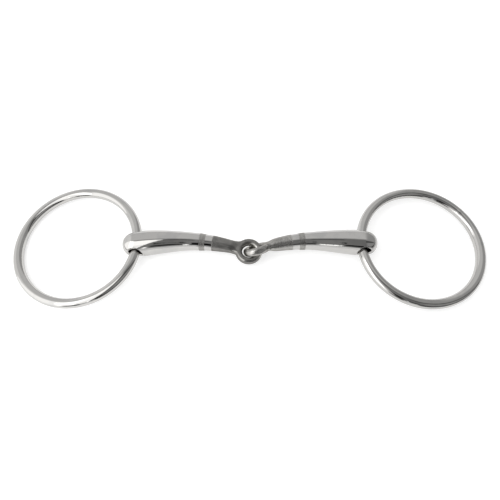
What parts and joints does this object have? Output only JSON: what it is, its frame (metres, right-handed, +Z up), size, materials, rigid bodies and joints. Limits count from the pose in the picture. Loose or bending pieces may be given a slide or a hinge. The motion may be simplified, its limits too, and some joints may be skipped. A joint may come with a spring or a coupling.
{
  "type": "loose ring snaffle bit",
  "caption": "Jointed loose ring snaffle bit: polished tapering cannons, satin bands and hooked satin centre links, and a round wire ring at each end.",
  "frame": {"origin": "on the table below the middle of the two rings, the bit lying flat and stretched out", "axes": "+X along the mouthpiece towards the right ring; +Z up from the table; the centre joint lies a little towards -Y"},
  "size_m": [0.2994, 0.0824, 0.0162],
  "materials": {
    "polished_steel": "stainless steel, mirror polished",
    "satin_steel": "stainless steel, fine satin blasted"
  },
  "bodies": {
    "mouthpiece_left": {"cannon_left": "polished_steel", "satin_band_left": "satin_steel", "collar_left": "polished_steel", "link_left": "satin_steel"},
    "mouthpiece_right": {"cannon_right": "polished_steel", "satin_band_right": "satin_steel", "collar_right": "polished_steel", "link_right": "satin_steel"},
    "ring_left": {"ring_left": "polished_steel"},
    "ring_right": {"ring_right": "polished_steel"}
  },
  "joints": [
    {"name": "centre_fold", "type": "hinge", "parent": "mouthpiece_left", "child": "mouthpiece_right", "pos_m": [-0.0001, -0.00525, 0.0081], "axis": [0, 0, 1], "range_deg": [-100, 85]},
    {"name": "ring_swing_left", "type": "hinge", "parent": "mouthpiece_left", "child": "ring_left", "pos_m": [-0.071, 0, 0.0081], "axis": [0, 1, 0], "range_deg": [-115, 120]},
    {"name": "ring_swing_right", "type": "hinge", "parent": "mouthpiece_right", "child": "ring_right", "pos_m": [0.071, 0, 0.0081], "axis": [0, -1, 0], "range_deg": [-115, 120]}
  ]
}
